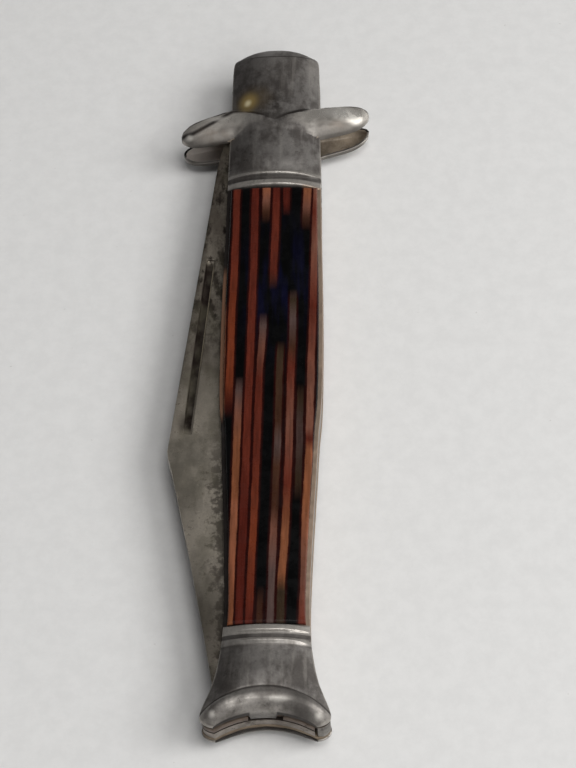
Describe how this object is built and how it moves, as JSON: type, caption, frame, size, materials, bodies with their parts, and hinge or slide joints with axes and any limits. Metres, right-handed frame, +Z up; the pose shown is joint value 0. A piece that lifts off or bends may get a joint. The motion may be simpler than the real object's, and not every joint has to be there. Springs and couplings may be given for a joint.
{
  "type": "folding guard knife",
  "caption": "Closed single-blade pocket knife with striped covers in stamped metal shells, a swept guard and a fishtail end; the blade swings out past the cap.",
  "frame": {"origin": "centre of the bounding box in plan, on the surface that the closed knife lies on", "axes": "+X across the handle toward the spring side, +Y along the handle toward the cap, +Z up through the front shell"},
  "size_m": [0.0318, 0.127, 0.0104],
  "materials": {
    "shell_steel": "worn dark patina with brighter ridges",
    "striped_cover": "glossy, striped lengthwise in black, red-brown and orange",
    "liner_steel": "dull",
    "spring_steel": "dull",
    "spacer_steel": "dull",
    "blade_steel": "grey patina with dark stains",
    "rivet_steel": "dull"
  },
  "bodies": {
    "handle": {"front_shell": "shell_steel", "rear_shell": "shell_steel", "front_cover": "striped_cover", "rear_cover": "striped_cover", "front_liner": "liner_steel", "rear_liner": "liner_steel", "back_spring": "spring_steel", "tail_spacer": "spacer_steel", "pivot_rivet": "rivet_steel", "spring_rivet": "rivet_steel", "tail_rivet": "rivet_steel", "left_pin": "rivet_steel", "right_pin": "rivet_steel"},
    "blade": {"blade": "blade_steel"}
  },
  "joints": [
    {"name": "blade_swing", "type": "hinge", "parent": "handle", "child": "blade", "pos_m": [-0.00039, 0.0542, 0.0052], "axis": [0, 0, -1], "range_deg": [0, 173.95]}
  ]
}
